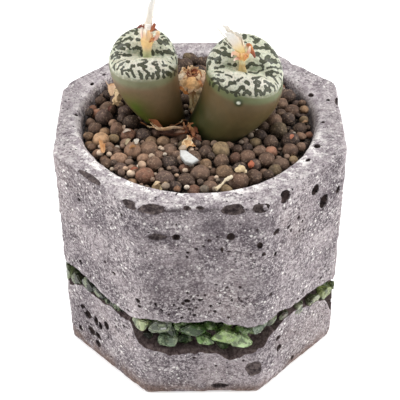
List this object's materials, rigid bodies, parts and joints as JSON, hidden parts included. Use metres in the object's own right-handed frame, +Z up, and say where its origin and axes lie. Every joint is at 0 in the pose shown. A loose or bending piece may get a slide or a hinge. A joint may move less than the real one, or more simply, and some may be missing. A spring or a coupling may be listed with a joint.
{
  "type": "potted conophytum",
  "caption": "Stone-plant with patterned domed leaf pairs, spent flowers and a dry seed capsule in mineral grit, in an octagonal concrete pot banded with glass chips.",
  "frame": {"origin": "middle of the pot's underside", "axes": "+Z up through the plant, -Y towards the pot's front face, +X to its right"},
  "size_m": [0.07, 0.07, 0.0981],
  "materials": {
    "concrete": "cast, pitted and matt",
    "grit": "dull rounded grains",
    "leaf": "waxy, pale green with dark green marks",
    "dry_petal": "dry and papery",
    "husk": "dry, brown and papery",
    "pale_mineral": "dull and pale",
    "green_glass": "broken, clear to frosted green"
  },
  "bodies": {
    "root": {"pot": "concrete", "soil": "grit", "head_left": "leaf", "head_right": "leaf", "flower_left": "dry_petal", "flower_right": "dry_petal", "seed_capsule": "husk", "sheath": "husk", "white_chip": "pale_mineral", "pale_flake": "dry_petal", "root_flake": "dry_petal", "pale_crumb": "pale_mineral", "orange_crumb": "husk", "husk_back": "husk", "husk_middle": "husk", "husk_front": "husk", "glass_front": "green_glass", "glass_front_right": "green_glass", "glass_right": "green_glass", "glass_back_right": "green_glass", "glass_back": "green_glass", "glass_back_left": "green_glass", "glass_left": "green_glass", "glass_front_left": "green_glass", "glass_front_left_end": "green_glass"}
  },
  "joints": []
}
